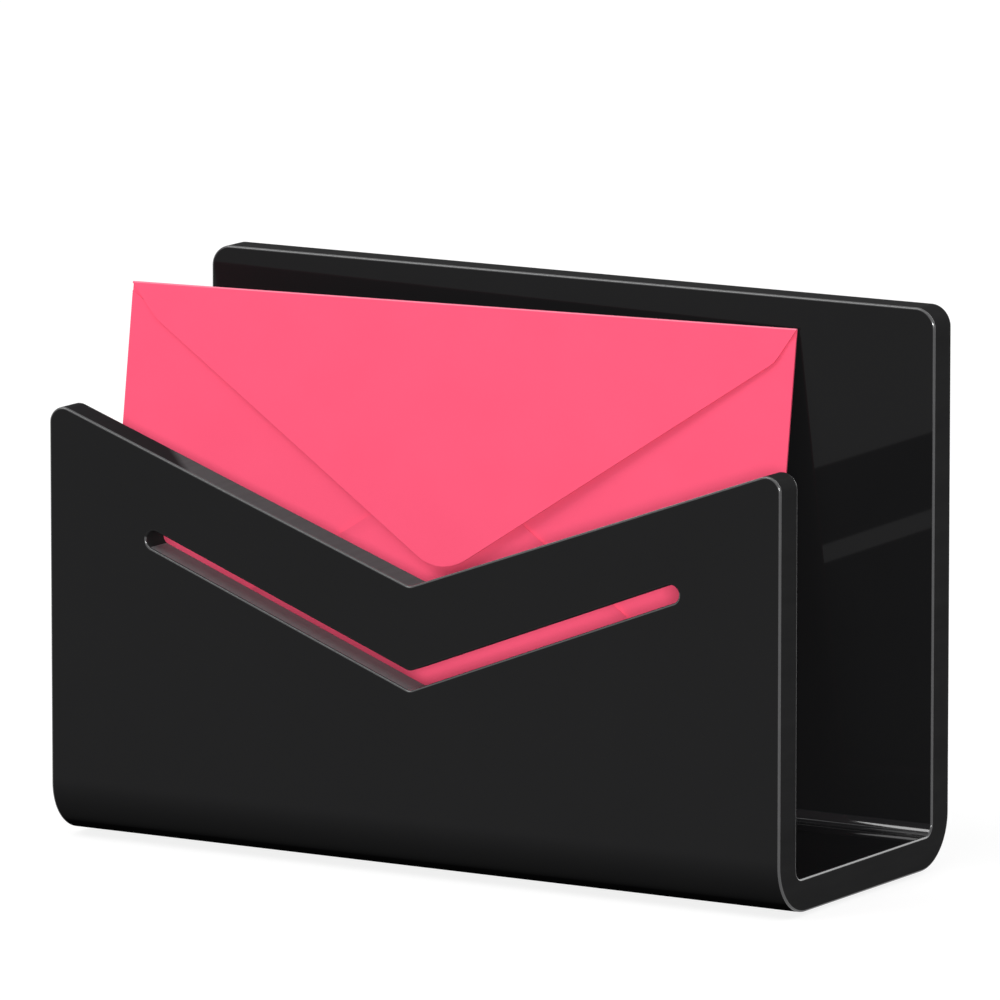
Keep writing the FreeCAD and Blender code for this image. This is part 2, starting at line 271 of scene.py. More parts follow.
@dataclass(frozen=True)
class Finish:
    """A finish whose colour, roughness and relief follow a grain."""

    name: str
    colour: Colour
    grain_colour: Colour
    roughness: float
    grain_roughness: float
    grain: Grain
    specular: float = 0.5
    clearness: float = 0.0
    refraction: float = 1.5

    def material(self) -> bpy.types.Material:
        """Make the material."""
        return new_material(self.name, self.surface)

    def surface(self, tree: TreeMaker) -> Wire:
        """The shader, one Principled BSDF unless a finish mixes two.

        Args:
            tree: the material's tree.

        Returns:
            The shader.
        """
        grain = self.grain.value(tree)
        return tree.wire("ShaderNodeBsdfPrincipled", {
            "Base Color": self.tone(tree, grain),
            "Roughness": self.roughness + grain * self.grain_roughness,
            "Specular IOR Level": self.specular,
            "Transmission Weight": self.clearness,
            "IOR": self.refraction,
            "Normal": self.normal(tree, grain),
        })

    def tone(self, tree: TreeMaker, grain: Wire) -> Wire:
        """The colour, which follows the grain."""
        return tree.between(grain, self.colour, self.grain_colour)

    def normal(self, tree: TreeMaker, grain: Wire) -> Wire:
        """The normal, which follows the grain."""
        return self.grain.relief(tree, grain)


@dataclass(frozen=True)
class Acrylic(Finish):
    """Black cast acrylic: faint haze and ripple in its gloss, and a painted shade towards the
    foot.
    """

    colour: Colour = (0.0074, 0.0074, 0.0078)
    grain_colour: Colour = (0.0094, 0.0094, 0.0098)
    roughness: float = 0.03
    grain_roughness: float = 0.03
    grain: Grain = Grain(14.0, 4.0, 0.6)
    specular: float = 0.085
    ripple: Grain = Grain(9.0, 0.0, depth=0.00002)
    # Painted shade: below this height the gloss gives way to a darker coat without reflection,
    # which stands for the contact shade at the foot.
    painted_shade_below: float = 0.0
    painted_shade_over: float = 0.013
    painted_shade_colour: Colour = (0.0030, 0.0030, 0.0032)
    painted_shade_roughness: float = 0.3
    painted_shade_grain_roughness: float = 0.2
    painted_shade_grain: Grain = Grain(168.0, 3.0)

    def surface(self, tree: TreeMaker) -> Wire:
        """Gloss, with a painted shade that grows towards the foot: a darker, dull coat without
        reflection.

        Args:
            tree: the material's tree.

        Returns:
            The shader.
        """
        gloss = super().surface(tree)
        if self.painted_shade_below <= 0.0:
            return gloss
        painted_shade_grain = self.painted_shade_grain.value(tree)
        # The painted shade: a darker coat without reflection.
        dull = tree.wire("ShaderNodeBsdfPrincipled", {
            "Base Color": rgba(self.painted_shade_colour),
            "Roughness": self.painted_shade_roughness + painted_shade_grain * self.painted_shade_grain_roughness,
            "Specular IOR Level": 0.0})
        _x, _y, height = tree.split(tree.place())
        share = tree.share((self.painted_shade_below - height) / self.painted_shade_over)
        return tree.wire("ShaderNodeMixShader", {0: share, 1: gloss, 2: dull})

    def normal(self, tree: TreeMaker, grain: Wire) -> Wire:
        """A slight ripple in the sheet, whatever its haze."""
        return self.ripple.relief(tree, self.ripple.value(tree))


@dataclass(frozen=True)
class CutFace(Finish):
    """A cut face of the sheet, with fine marks, and perhaps a painted reflection edge: past a
    slanting line towards its ends the colour turns dark.
    """

    colour: Colour = (0.0165, 0.0165, 0.0169)
    grain_colour: Colour = (0.0250, 0.0250, 0.0255)
    roughness: float = 0.40
    grain_roughness: float = 0.16
    grain: Grain = Grain(900.0, 3.0, depth=0.000006, squeeze=(1.0, 0.04, 0.25))
    specular: float = 0.001
    # Past a slanting line towards the ends the face is painted this dark colour: a painted
    # reflection edge.
    past_reflection_colour: Colour = (0.015, 0.015, 0.016)
    reflection_edge_from: float = 1.0
    reflection_edge_over: float = 0.004
    reflection_edge_slant: float = 1.19

    def tone(self, tree: TreeMaker, grain: Wire) -> Wire:
        """The colour of the marks, and past a slanting line a dark colour that paints where a
        reflection ends.

        Args:
            tree: the material's tree.
            grain: the marks' value.

        Returns:
            The colour.
        """
        x, y, _z = tree.split(tree.place())
        # Painted reflection edge: past a slanting line the colour turns dark.
        past = abs(x) - y * self.reflection_edge_slant - self.reflection_edge_from
        past_reflection_edge = tree.share(past / self.reflection_edge_over)
        return tree.between(past_reflection_edge, super().tone(tree, grain), self.past_reflection_colour)


@dataclass(frozen=True)
class Paper(Finish):
    """Dyed envelope paper: matte, with fibres, a slight cloudiness and a slow wave."""

    colour: Colour = (0.90, 0.085, 0.171)
    grain_colour: Colour = (0.955, 0.104, 0.200)
    roughness: float = 0.78
    grain_roughness: float = 0.1
    grain: Grain = Grain(2600.0, 3.0, 0.65, depth=0.00004, shown=0.5)
    specular: float = 0.18
    clouds: Grain = Grain(60.0, 3.0)
    cloudiness: float = 0.5
    wave: Grain = Grain(11.0, 1.0, depth=0.0006, shown=0.5)

    def tone(self, tree: TreeMaker, grain: Wire) -> Wire:
        """The colour, which follows the fibres and the clouds."""
        share = grain * (1 - self.cloudiness) + self.clouds.value(tree) * self.cloudiness
        return tree.between(share, self.colour, self.grain_colour)

    def normal(self, tree: TreeMaker, grain: Wire) -> Wire:
        """The relief of the fibres on that of the wave."""
        waved = self.wave.relief(tree, self.wave.value(tree))
        return self.grain.relief(tree, grain, waved)


# ---- outlines and meshes


@dataclass(frozen=True)
class Corner:
    """A corner of an outline, rounded by a radius if it has one."""

    x: float
    y: float
    radius: float = 0.0

    @property
    def place(self) -> Vector:
        """The sharp corner."""
        return Vector((self.x, self.y))


@dataclass(frozen=True)
class RimPoint:
    """A point of an outline with the direction that leads out of the material."""

    place: Vector
    outward: Vector


class Outline:
    """A closed outline of straight runs and corner arcs.

    The material lies to the left of the way round, so a hole runs clockwise.
    """

    def __init__(self, corners: Sequence[Corner], step: float = math.radians(6.0)) -> None:
        """Keep the corners in order, and the largest turn between two points of an arc."""
        self.corners = list(corners)
        self.step = step

    def rim(self) -> list[RimPoint]:
        """The points of the outline, with no two in one place.

        Returns:
            The points in order.
        """
        found: list[RimPoint] = []
        for index, corner in enumerate(self.corners):
            before = self.corners[index - 1].place
            after = self.corners[(index + 1) % len(self.corners)].place
            for point in self._rounded(before, corner, after):
                if not found or (point.place - found[-1].place).length > SAME_PLACE:
                    found.append(point)
        if (found[0].place - found[-1].place).length <= SAME_PLACE:
            found.pop()
        return found

    def _rounded(self, before: Vector, corner: Corner, after: Vector) -> list[RimPoint]:
        """The points of one corner.

        Args:
            before: the corner before it.
            corner: the corner itself.
            after: the corner after it.

        Returns:
            One point for a sharp corner, else those of its arc.
        """
        back = (before - corner.place).normalized()
        ahead = (after - corner.place).normalized()
        turn = back.x * -ahead.y + back.y * ahead.x
        side = 1.0 if turn > 0 else -1.0
        inward = (back + ahead).normalized()
        if corner.radius <= 0:
            return [RimPoint(corner.place, -inward * side)]
        half = back.angle(ahead) / 2
        centre = corner.place + inward * (corner.radius / math.sin(half))
        start = corner.place + back * (corner.radius / math.tan(half)) - centre
        sweep = math.pi - 2 * half
        steps = max(2, math.ceil(sweep / self.step))
        first = math.atan2(start.y, start.x)
        spokes = [Vector((math.cos(first + angle), math.sin(first + angle)))
                  for angle in even_angles(side * sweep, steps)]
        return [RimPoint(centre + spoke * corner.radius, spoke * side) for spoke in spokes]


def even_angles(turn: float, steps: int) -> list[float]:
    """The angles of a turn in equal steps, both ends included."""
    return [turn * step / steps for step in range(steps + 1)]


def pairs(ring: Sequence[Any]) -> Iterable[tuple[Any, Any]]:
    """Each item of a closed ring with the next one."""
    return zip(ring, [*ring[1:], ring[0]])


def new_object(name: str, data: bpy.types.ID) -> bpy.types.Object:
    """Put a mesh, light or camera in the scene.

    Args:
        name: the object's name.
        data: the mesh, light or camera.

    Returns:
        The object, at the origin.
    """
    made = bpy.data.objects.new(name, data)
    bpy.context.scene.collection.objects.link(made)
    return made


def to_mesh(shape: bmesh.types.BMesh, name: str) -> bpy.types.Mesh:
    """Turn a finished shape into a mesh.

    Args:
        shape: the shape, which is freed.
        name: the mesh's name.

    Returns:
        The mesh.
    """
    mesh = bpy.data.meshes.new(name)
    shape.to_mesh(mesh)
    shape.free()
    return mesh


def divide(shape: bmesh.types.BMesh, point: Sequence[float], across: Sequence[float]) -> None:
    """Divide a shape's faces where a plane crosses them.

    Args:
        shape: the shape.
        point: a point of the plane.
        across: the plane's normal.
    """
    bmesh.ops.bisect_plane(shape, geom=shape.verts[:] + shape.edges[:] + shape.faces[:],
                           dist=CUT_SNAP, plane_co=point, plane_no=across)


def smooth(mesh: bpy.types.Mesh, sharp_from: float) -> None:
    """Shade a mesh smooth, but for the edges that turn by more than an angle."""
    mesh.polygons.foreach_set("use_smooth", [True] * len(mesh.polygons))
    mesh.set_sharp_from_angle(angle=sharp_from)


class GeometryTree(TreeMaker):
    """A Geometry Nodes tree with named inputs, used as a modifier."""

    def __init__(self, name: str) -> None:
        """Make a named tree with a mesh in and a mesh out.

        Args:
            name: the tree's name.
        """
        super().__init__(bpy.data.node_groups.new(name, "GeometryNodeTree"))
        for way in ("INPUT", "OUTPUT"):
            self.tree.interface.new_socket(
                "Mesh", in_out=way, socket_type="NodeSocketGeometry")
        self.start = self.node("NodeGroupInput")
        self.values: dict[str, Any] = {}

    def size(self, name: str, value: Any, kind: str = "NodeSocketFloat") -> Wire:
        """Add a named input.

        Args:
            name: what the input sets.
            value: what the modifier sets it to.
            kind: the socket's type.

        Returns:
            The input, as a wire inside the tree.
        """
        item = self.tree.interface.new_socket(name, in_out="INPUT", socket_type=kind)
        self.values[item.identifier] = value
        return Wire(self, self.start.outputs[name])

    def finish(self, mesh: Wire, layers: Sequence[tuple[Wire, Wire | None]]) -> None:
        """End the tree in Realize Instances and Set Material.

        Args:
            mesh: the geometry.
            layers: (material, selection) pairs, the first for all faces.
        """
        done = self.wire("GeometryNodeRealizeInstances", {"Geometry": mesh})
        for material, selection in layers:
            sockets: Sockets = {"Geometry": done, "Material": material}
            if selection:
                sockets["Selection"] = selection
            done = self.wire("GeometryNodeSetMaterial", sockets)
        self.node("NodeGroupOutput", {0: done})

    def apply_to(self, thing: bpy.types.Object) -> None:
        """Use the tree on an object, and make the result the object's own mesh.

        Args:
            thing: the object.
        """
        modifier = thing.modifiers.new(self.tree.name, "NODES")
        modifier.node_group = self.tree
        for identifier, value in self.values.items():
            modifier[identifier] = value
        graph = bpy.context.evaluated_depsgraph_get()
        graph.update()
        result = bpy.data.meshes.new_from_object(
            thing.evaluated_get(graph), preserve_all_data_layers=True, depsgraph=graph)
        plain = thing.data
        thing.modifiers.clear()
        thing.data = result
        bpy.data.meshes.remove(plain)
        result.name = thing.name


# ---- holder


class SheetFace(IntEnum):
    """The kinds of face that the sheet has, each with its own finish."""

    GLOSS = 0
    ARRIS = 1
    END = 2
    NOTCH = 3
    SLOT = 4
    BEND = 5
    INSIDE = 6


@dataclass
class Holder:
    """The bent sheet: a flat blank with eased edges, folded up along two bends."""

    width: float = 236.0 * MM
    depth: float = 94.5 * MM
    thickness: float = 9.5 * MM
    back_height: float = 157.0 * MM
    front_height: float = 124.0 * MM
    notch_height: float = 81.5 * MM
    foot: float = 1.2 * MM
    bend_outer: float = 15.0 * MM
    bend_inner: float = 3.0 * MM
    back_corner: float = 6.0 * MM
    front_corner: float = 4.5 * MM
    notch_corner: float = 3.0 * MM
    arris: float = 0.55 * MM
    slot_width: float = 5.1 * MM
    slot_low: float = 55.0 * MM
    slot_end: float = 87.0 * MM
    slot_half_span: float = 83.5 * MM
    slot_corner: float = 2.5 * MM
    bend_steps: int = 24
    arris_steps: int = 4
    # Sums of two unit directions' y, so from -2 (straight up the wall) to 2 (down).
    # Past these, a down-facing slot arris takes the dark end finish and only the up-facing slot
    # wall takes the lighter routed grey: painted shade on the slot's undersides.
    shade_hanging_from: float = 0.5
    lit_looking_up_from: float = 1.7
    finishes: dict[SheetFace, Finish] = field(default_factory=lambda: {
        # The outer faces are painted darker and unreflecting towards the foot: painted shade.
        SheetFace.GLOSS: Acrylic("black_acrylic", painted_shade_below=0.0175),
        SheetFace.INSIDE: Acrylic("inner_gloss"),
        SheetFace.ARRIS: CutFace(
            "eased_edge", colour=(0.024, 0.024, 0.025), grain_colour=(0.038, 0.038, 0.040),
            specular=0.75, roughness=0.14, grain_roughness=0.10),
        # The end finish also paints shade on the slot's down-facing arrises and walls.
        SheetFace.END: CutFace("buffed_end_and_underside_shade"),
        # The inner bends are painted lighter and made glossier than the inner gloss: a painted
        # highlight along the bend.
        SheetFace.BEND: Acrylic(
            "bend_painted_highlight", colour=(0.012, 0.012, 0.013),
            grain_colour=(0.018, 0.018, 0.019), specular=0.9, roughness=0.10),
        # The notch's top is painted dark past a slanting line towards its ends: a painted
        # reflection edge.
        SheetFace.NOTCH: CutFace(
            "sanded_notch", colour=(0.070, 0.070, 0.072), grain_colour=(0.102, 0.102, 0.105),
            specular=0.005, roughness=0.45, reflection_edge_from=0.1266),
        SheetFace.SLOT: CutFace(
            "routed_slot", colour=(0.11, 0.11, 0.114), grain_colour=(0.16, 0.16, 0.165),
            specular=0.1, roughness=0.45),
    })

    @property
    def flat_half(self) -> float:
        """Half the floor's flat length on the outside."""
        return self.depth / 2 - self.bend_outer

    @property
    def bend_length(self) -> float:
        """Length of one bend along the outside."""
        return self.bend_outer * math.pi / 2

    @property
    def settle(self) -> float:
        """How far up the wall its two faces take to come level."""
        return self.bend_outer - self.thickness - self.bend_inner

    def run(self, height: float) -> float:
        """How far from the blank's middle a height above the holder's underside lies."""
        return self.flat_half + self.bend_length + height - self.bend_outer

    def blank_outline(self) -> Outline:
        """The blank's outline, with the notch in its front end.

        Returns:
            The outline, anticlockwise.
        """
        half = self.width / 2
        return Outline([
            Corner(half, -self.run(self.front_height), self.front_corner),
            Corner(half, self.run(self.back_height), self.back_corner),
            Corner(-half, self.run(self.back_height), self.back_corner),
            Corner(-half, -self.run(self.front_height), self.front_corner),
            Corner(0.0, -self.run(self.notch_height), self.notch_corner),
        ])

    def slot_outline(self) -> Outline:
        """The chevron slot's outline, a hole with round ends.

        Returns:
            The outline, clockwise.
        """
        low = Vector((0.0, -self.run(self.slot_low)))
        end = Vector((self.slot_half_span, -self.run(self.slot_end)))
        along = (end - low).normalized()
        across = Vector((-along.y, along.x))
        half = self.slot_width / 2
        reach = half / across.y
        tips = [end + along * half + across * half, end + along * half - across * half]
        corners = [Corner(0.0, low.y - reach, self.slot_corner)]
        corners += [Corner(-tip.x, tip.y, half) for tip in reversed(tips)]
        corners += [Corner(0.0, low.y + reach, self.slot_corner)]
        corners += [Corner(tip.x, tip.y, half) for tip in tips]
        return Outline(corners)

    def _rings(self) -> list[tuple[float, float, float, float]]:
        """The rings round the sheet's edge, from the outer face to the inner face.

        Returns:
            (inset, depth, outward share, face share) for each ring.
        """
        rings = [(self.arris * (1 - math.sin(angle)), self.arris * (1 - math.cos(angle)),
                  math.sin(angle), -math.cos(angle))
                 for angle in even_angles(math.pi / 2, self.arris_steps)]
        mirrored = [(inset, self.thickness - depth, outward, -face)
                    for inset, depth, outward, face in reversed(rings)]
        return rings + mirrored

    def _blank(self) -> bpy.types.Mesh:
        """The flat blank as a closed mesh: x across, y along, z through the sheet.

        Returns:
            A mesh with the attributes sheet_normal and finish.
        """
        shape = bmesh.new()
        normals = shape.verts.layers.float_vector.new("sheet_normal")
        finish = shape.faces.layers.int.new("finish")
        outer_edges: list[bmesh.types.BMEdge] = []
        inner_edges: list[bmesh.types.BMEdge] = []
        for outline, is_slot in ((self.blank_outline(), False), (self.slot_outline(), True)):
            rim = outline.rim()
            rings = []
            for inset, depth, outward, face in self._rings():
                rings.append([])
                for point in rim:
                    spot = point.place - point.outward * inset
                    vert = shape.verts.new((spot.x, spot.y, depth))
                    vert[normals] = (
                        point.outward.x * outward, point.outward.y * outward, face)
                    rings[-1].append(vert)
            for level, (ring, after) in enumerate(zip(rings, rings[1:])):
                for (start, low, high), (end, next_low, next_high) in pairs(
                        list(zip(rim, ring, after))):
                    quad = shape.faces.new((low, next_low, next_high, high))
                    quad[finish] = int(self._face_kind(level, start, end, is_slot))
            outer_edges += [shape.edges.get(ends) for ends in pairs(rings[0])]
            inner_edges += [shape.edges.get(ends) for ends in pairs(rings[-1])]
        for edges in (outer_edges, inner_edges):
            bmesh.ops.triangle_fill(shape, use_beauty=True, edges=edges)
        self._divide_at_bends(shape)
        for face in shape.faces:
            middle = face.calc_center_median()
            if middle.z > self.thickness - ON_FACE:
                # Inner faces in the bends take the lighter bend finish, a painted highlight.
                bends = 0 < abs(middle.y) - self.flat_half < self.bend_length
                face[finish] = int(SheetFace.BEND if bends else SheetFace.INSIDE)
        bmesh.ops.recalc_face_normals(shape, faces=shape.faces[:])
        return to_mesh(shape, "holder_sheet")

    def _face_kind(self, level: int, start: RimPoint, end: RimPoint,
                   is_slot: bool) -> SheetFace:
        """What kind of face one quad round the sheet's edge is.

        Args:
            level: the ring that the quad starts from.
            start: the outline's point at the quad's start.
            end: the outline's next point.
            is_slot: whether the outline is the slot's.

        Returns:
            The kind of face.
        """
        # Painted shade: the slot's down-facing arrises and walls take the darker end finish,
        # and its up-facing wall takes the lighter routed grey.
        down = start.outward.y + end.outward.y
        if level != self.arris_steps:
            in_painted_shade = is_slot and down > self.shade_hanging_from
            return SheetFace.END if in_painted_shade else SheetFace.ARRIS
        if is_slot:
            return SheetFace.SLOT if down < -self.lit_looking_up_from else SheetFace.END
        middle = (start.place + end.place) / 2
        inside = abs(middle.x) < self.width / 2 - self.front_corner
        return SheetFace.NOTCH if middle.y < 0 and inside else SheetFace.END

    def _divide_at_bends(self, shape: bmesh.types.BMesh) -> None:
        """Divide the blank across at each step of the bends.

        Args:
            shape: the blank.
        """
        stops = [self.flat_half + self.bend_length * step / self.bend_steps
                 for step in range(self.bend_steps + 1)]
        stops.append(stops[-1] + self.settle)
        for stop in stops + [-stop for stop in stops]:
            divide(shape, (0.0, stop, 0.0), (0.0, 1.0, 0.0))

    def _bending_tree(self) -> GeometryTree:
        """The tree that folds a flat blank up along its two bends.

        Returns:
            The tree, with its sizes as named inputs.
        """
        tree = GeometryTree("bend_sheet")
        flat_half = tree.size("Flat half length", self.flat_half)
        bend_length = tree.size("Bend length", self.bend_length)
        outer = tree.size("Outer bend radius", self.bend_outer)
        inner = tree.size("Inner bend radius", self.bend_inner)
        thickness = tree.size("Sheet thickness", self.thickness)
        foot = tree.size("Height off the table", self.foot)
        materials = {
            kind: tree.size(kind.name.title() + " finish", self.finishes[kind].material(),
                            "NodeSocketMaterial")
            for kind in SheetFace}

        x, along, through = tree.split(tree.wire("GeometryNodeInputPosition"))
        side = tree.math("SIGN", along)
        run = abs(along)
        angle = tree.share((run - flat_half) / bend_length) * (math.pi / 2)
        sine = tree.math("SINE", angle)
        cosine = tree.math("COSINE", angle)
        rise = tree.math("MAXIMUM", run - flat_half - bend_length, 0.0)
        on_floor = tree.math("MINIMUM", run, flat_half)
        settle = outer - thickness - inner
        outer_y = on_floor + outer * sine
        outer_z = outer * (1.0 - cosine) + rise
        inner_y = on_floor * ((flat_half + settle) / flat_half) + inner * sine
        caught_up = tree.math("MINIMUM", rise, settle)
        inner_z = thickness + inner * (1.0 - cosine) + rise + caught_up
        share = through / thickness
        bent_y = side * (outer_y + (inner_y - outer_y) * share)
        bent_z = foot + outer_z + (inner_z - outer_z) * share
        target = tree.vector(x, bent_y, bent_z)

        normal_x, normal_y, normal_z = tree.split(tree.wire(
            "GeometryNodeInputNamedAttribute", {"Name": "sheet_normal"},
            data_type="FLOAT_VECTOR"))
        turn = side * sine
        turned = tree.vector(normal_x, normal_y * cosine - normal_z * turn,
                             normal_y * turn + normal_z * cosine)
        blank = Wire(tree, tree.start.outputs["Mesh"])
        stored = tree.wire("GeometryNodeStoreNamedAttribute", {
            "Geometry": blank, "Name": "sheet_normal", "Value": turned},
            data_type="FLOAT_VECTOR", domain="POINT")
        moved = tree.wire("GeometryNodeSetPosition", {
            "Geometry": stored, "Position": target})
        finish = tree.wire("GeometryNodeInputNamedAttribute", {"Name": "finish"},
                           data_type="INT")
        tree.finish(moved, [
            (material, tree.math("COMPARE", finish, float(kind), SAME_KIND) if kind else None)
            for kind, material in materials.items()])
        return tree

    def build(self) -> None:
        """Make the holder's sheet in place of the plain solid."""
        sheet = new_object("holder_sheet", self._blank())
        self._bending_tree().apply_to(sheet)
        mesh = sheet.data
        normals = [Vector(item.vector).normalized()
                   for item in mesh.attributes["sheet_normal"].data]
        for name in ("sheet_normal", "finish"):
            mesh.attributes.remove(mesh.attributes[name])
        mesh.polygons.foreach_set("use_smooth", [True] * len(mesh.polygons))
        mesh.normals_split_custom_set_from_vertices(normals)
        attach(sheet, "holder")
        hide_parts("holder")
        LOG.info("holder_sheet: %d faces", len(mesh.polygons))


@dataclass
class Bumpers:
    """Four low clear pads under the floor."""

    radius: float = 4.0 * MM
    height: float = 1.2 * MM
    edge: float = 0.55 * MM
    spacing_x: float = 192.0 * MM
    spacing_y: float = 46.5 * MM
    sides: int = 48
    edge_steps: int = 5
    sharp_from: float = math.radians(35.0)
    finish: Finish = Finish(
        "clear_pad", (0.72, 0.74, 0.74), (0.84, 0.85, 0.84), roughness=0.22,
        grain_roughness=0.12, grain=Grain(1500.0, 2.0, depth=0.00001),
        clearness=0.6, refraction=1.49)

    def _tree(self) -> GeometryTree:
        """The tree that makes one pad and sets it at each corner of a grid.

        Returns:
            The tree, with its sizes as named inputs.
        """
        tree = GeometryTree("set_bumpers")
        radius = tree.size("Pad radius", self.radius)
        height = tree.size("Pad height", self.height)
        edge = tree.size("Edge radius", self.edge)
        spacing_x = tree.size("Spacing along", self.spacing_x)
        spacing_y = tree.size("Spacing across", self.spacing_y)
        material = tree.size("Clear", self.finish.material(), "NodeSocketMaterial")
        reached: Number = radius - edge
        risen: Number = 0.0
        pad = tree.wire("GeometryNodeMeshCircle", {
            "Vertices": self.sides, "Radius": reached}, fill_type="NGON")
        for angle in even_angles(math.pi / 2, self.edge_steps)[1:]:
            wide = radius - edge * (1.0 - math.sin(angle))
            high = edge * (1.0 - math.cos(angle))
            pad = self._raise(tree, pad, high - risen, wide / reached)
            reached, risen = wide, high
        pad = self._raise(tree, pad, height - risen, 1.0)
        corners = tree.wire("GeometryNodeMeshGrid", {
            "Size X": spacing_x, "Size Y": spacing_y, "Vertices X": 2, "Vertices Y": 2})
        placed = tree.wire("GeometryNodeInstanceOnPoints", {
            "Points": corners, "Instance": pad})
        tree.finish(placed, [(material, None)])
        return tree

    @staticmethod
    def _raise(tree: GeometryTree, pad: Wire, rise: Number, widen: Number) -> Wire:
        """Pull the pad's top face up and change its width.

        Args:
            tree: the tree.
            pad: the pad so far.
            rise: how far the top goes up.
            widen: the top's new width as a share of the old.

        Returns:
            The pad with one more ring.
        """
        _x, _y, facing_up = tree.split(tree.wire("GeometryNodeInputNormal"))
        top = tree.math("GREATER_THAN", facing_up, FACING_UP)
        pulled = tree.node("GeometryNodeExtrudeMesh", {
            "Mesh": pad, "Selection": top, "Offset": tree.vector(0.0, 0.0, 1.0),
            "Offset Scale": rise, "Individual": False}, mode="FACES")
        return tree.wire("GeometryNodeScaleElements", {
            "Geometry": Wire(tree, pulled.outputs["Mesh"]),
            "Selection": Wire(tree, pulled.outputs["Top"]), "Scale": widen}, domain="FACE")

    def build(self) -> None:
        """Make the four pads in place of the plain solids."""
        pads = new_object("bumpers", bpy.data.meshes.new("bumpers"))
        self._tree().apply_to(pads)
        smooth(pads.data, self.sharp_from)
        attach(pads, "holder")
        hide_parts("bumper_front_left", "bumper_front_right",
                    "bumper_back_left", "bumper_back_right")
        LOG.info("bumpers: %d faces", len(pads.data.polygons))


# ---- envelope


class PaperPart(Enum):
    """The envelope's panels, by the CAD node that each stands for."""

    ADDRESS = "address_panel"
    SIDE_LEFT = "side_flap_left"
    SIDE_RIGHT = "side_flap_right"
    BOTTOM = "bottom_flap"
    TOP = "top_flap"


Bow = Callable[[float, float], float]
Plane = tuple[Vector, Vector]


def flat(_u: float, _v: float) -> float:
    """No bow at all."""
    return 0.0


@dataclass
class PaperSheet:
    """A piece of paper cut to an outline in the envelope's plane."""

    outline: Outline
    front: float
    back: float
    bow: Bow = flat
    divisions: Sequence[Plane] = ()
    sharp_from: float = math.radians(25.0)

    def mesh(self, name: str, stance: Matrix) -> bpy.types.Mesh:
        """Make the sheet.

        Args:
            name: the mesh's name.
            stance: turns the envelope's own axes into the frame's.

        Returns:
            A closed mesh.
        """
        shape = bmesh.new()
        rim = [shape.verts.new((point.place.x, self.front, point.place.y))
               for point in self.outline.rim()]
        edges = [shape.edges.new(ends) for ends in pairs(rim)]
        bmesh.ops.triangle_fill(shape, use_beauty=True, edges=edges)
        for point, across in self.divisions:
            divide(shape, point, across)
        # Built by hand, because Blender's own extrusion orders its faces anew each run.
        faces, rims = shape.faces[:], [edge for edge in shape.edges if edge.is_boundary]
        behind = {vert: shape.verts.new((vert.co.x, self.back, vert.co.z))
                  for vert in shape.verts[:]}
        for face in faces:
            shape.faces.new([behind[vert] for vert in face.verts])
        for first, second in (edge.verts for edge in rims):
            shape.faces.new((first, second, behind[second], behind[first]))
        for vert in shape.verts:
            vert.co.y += self.bow(vert.co.x, vert.co.z)
        bmesh.ops.recalc_face_normals(shape, faces=shape.faces[:])
        bmesh.ops.transform(shape, matrix=stance, verts=shape.verts[:])
        mesh = to_mesh(shape, name)
        smooth(mesh, self.sharp_from)
        return mesh


